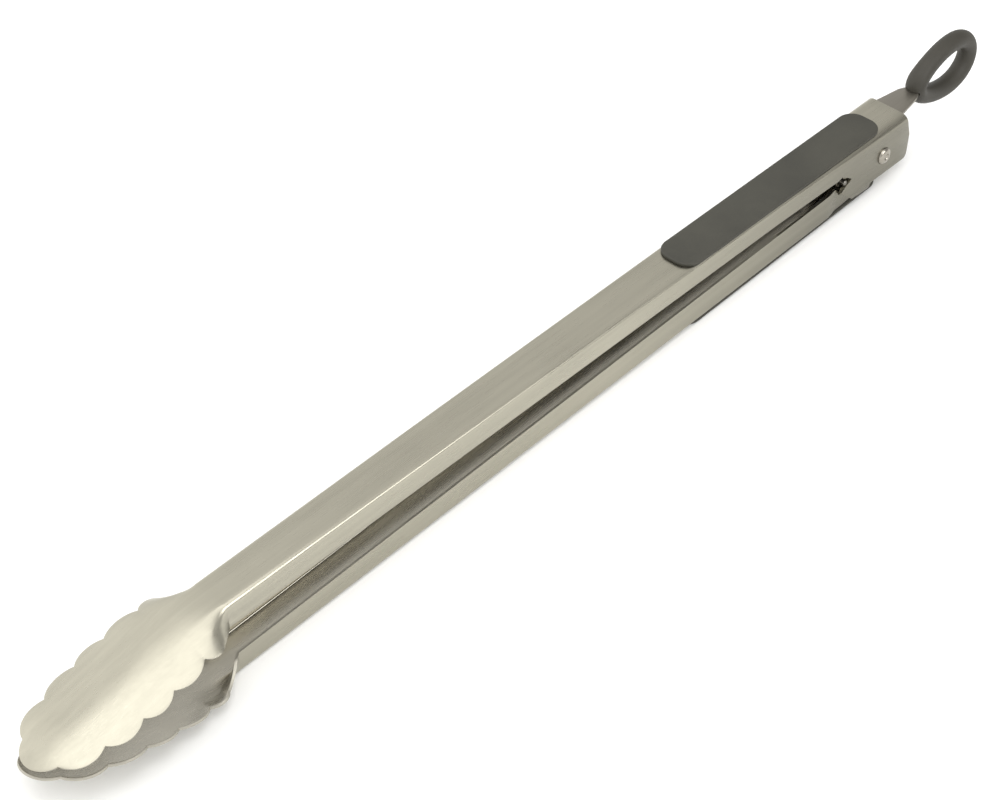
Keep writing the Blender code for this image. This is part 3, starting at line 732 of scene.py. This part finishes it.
def ring():
    """Egg-shaped hanging ring of round section, with the strap's slot moulded in."""
    points = []
    for i in range(RING_STEPS):
        angle = 2 * pi * i / RING_STEPS
        height = RING_B * sin(angle) * (1 + RING_EGG * cos(angle))
        points.append((RING_X + RING_A * cos(angle), 0.0, RING_Z + height))
    obj = tube("pull_ring", points, RING_TUBE, closed=True, sides=40)
    for vertex in obj.data.vertices:
        past_seat = max(0.0, vertex.co.x / MM - RING_X + RING_A) / RING_SEAT_LENGTH
        vertex.co.y *= 1 + RING_SEAT_SPREAD * max(0.0, 1 - past_seat) ** 2
    gap, wide = 0.08, STRAP_TONGUE_HALF_WIDTH + 0.5
    slot = box("ring_slot", (20.0, -wide, STRAP_Z - SHEET / 2 - gap),
               (STRAP_END + 0.3, wide, STRAP_Z + SHEET / 2 + gap))
    finish_piece(boolean(obj, slot), "lock", "hang_ring", RING_RUBBER, angle=50.0)


upper_arm()
lower_arm()
grip("upper_grip", 1, "upper_arm")
grip("lower_grip", -1, "lower_arm")
rivet()
spacer()
spring()
strap()
bar()
ring()


# ---------------------------------------------------------------- floor, light and camera
def floor():
    """A plain pale table top, just under the tongs."""
    bm = bmesh.new()
    bmesh.ops.create_grid(bm, x_segments=1, y_segments=1, size=4000.0)
    obj = mesh_object("table_top", bm)
    obj.location.z = -0.0001
    obj.data.materials.append(shader_tree("pale_table", (0.9, 0.9, 0.89), 0.9, 0.0)[0])


def sky():
    """An even studio dome, brighter to the jaws' side and dimmer past the ring."""
    world = bpy.data.worlds.new("studio")
    bpy.context.scene.world = world
    world.use_nodes = True
    tree = world.node_tree
    background = tree.nodes["Background"]
    where = node(tree, "ShaderNodeTexCoord")
    split = node(tree, "ShaderNodeSeparateXYZ")
    tree.links.new(where.outputs["Generated"], split.inputs["Vector"])
    sideways = spread(tree, split.outputs["X"], 1.4, 0.68, -0.1, 0.75)
    backward = spread(tree, split.outputs["Y"], 0.6, 1.28, -0.7, 0.85)
    tree.links.new(add(tree, sideways, backward, "MULTIPLY"), background.inputs["Strength"])
    background.inputs["Color"].default_value = (1.0, 0.995, 0.985, 1.0)


def area_light(name, place, size, power, aim):
    """A soft rectangular light at place, facing aim; metres and watts."""
    light = bpy.data.lights.new(name, "AREA")
    light.shape = "RECTANGLE"
    light.size, light.size_y = size
    light.energy = power
    obj = link(bpy.data.objects.new(name, light))
    obj.location = place
    obj.rotation_euler = (Vector(aim) - Vector(place)).to_track_quat("-Z", "Y").to_euler()
    return obj


def camera():
    """The viewpoint: to the left of the jaws, looking down along the arms."""
    azimuth, elevation, roll = radians(46.708), radians(42.359), radians(0.974)
    place = Vector((-0.72373, -0.49684, 0.66872))
    forward = Vector((cos(elevation) * sin(azimuth), cos(elevation) * cos(azimuth), -sin(elevation)))
    right = forward.cross(Vector((0, 0, 1))).normalized()
    down = forward.cross(right)
    turned_right = cos(roll) * right + sin(roll) * down
    turned_down = cos(roll) * down - sin(roll) * right
    facing = Matrix((turned_right, -turned_down, -forward)).transposed()
    lean = Matrix.Rotation((UPPER_LEAN + LOWER_LEAN) / 2, 3, "Y")
    data = bpy.data.cameras.new("camera")
    data.sensor_width = 36.0
    data.lens = 108.43
    data.clip_start = 0.01
    obj = link(bpy.data.objects.new("camera", data))
    obj.matrix_world = Matrix.Translation(pivot + lean @ place) @ (lean @ facing).to_4x4()
    bpy.context.scene.camera = obj


floor()
sky()
area_light("overhead_softbox", (-0.12, -0.08, 0.95), (0.95, 0.85), 4.0, (-0.12, -0.08, 0.0))
area_light("side_softbox", (0.15, -0.75, 0.55), (0.7, 0.45), 4.4, (-0.1, 0.0, 0.0))
camera()
bpy.context.scene.view_settings.view_transform = "Standard"
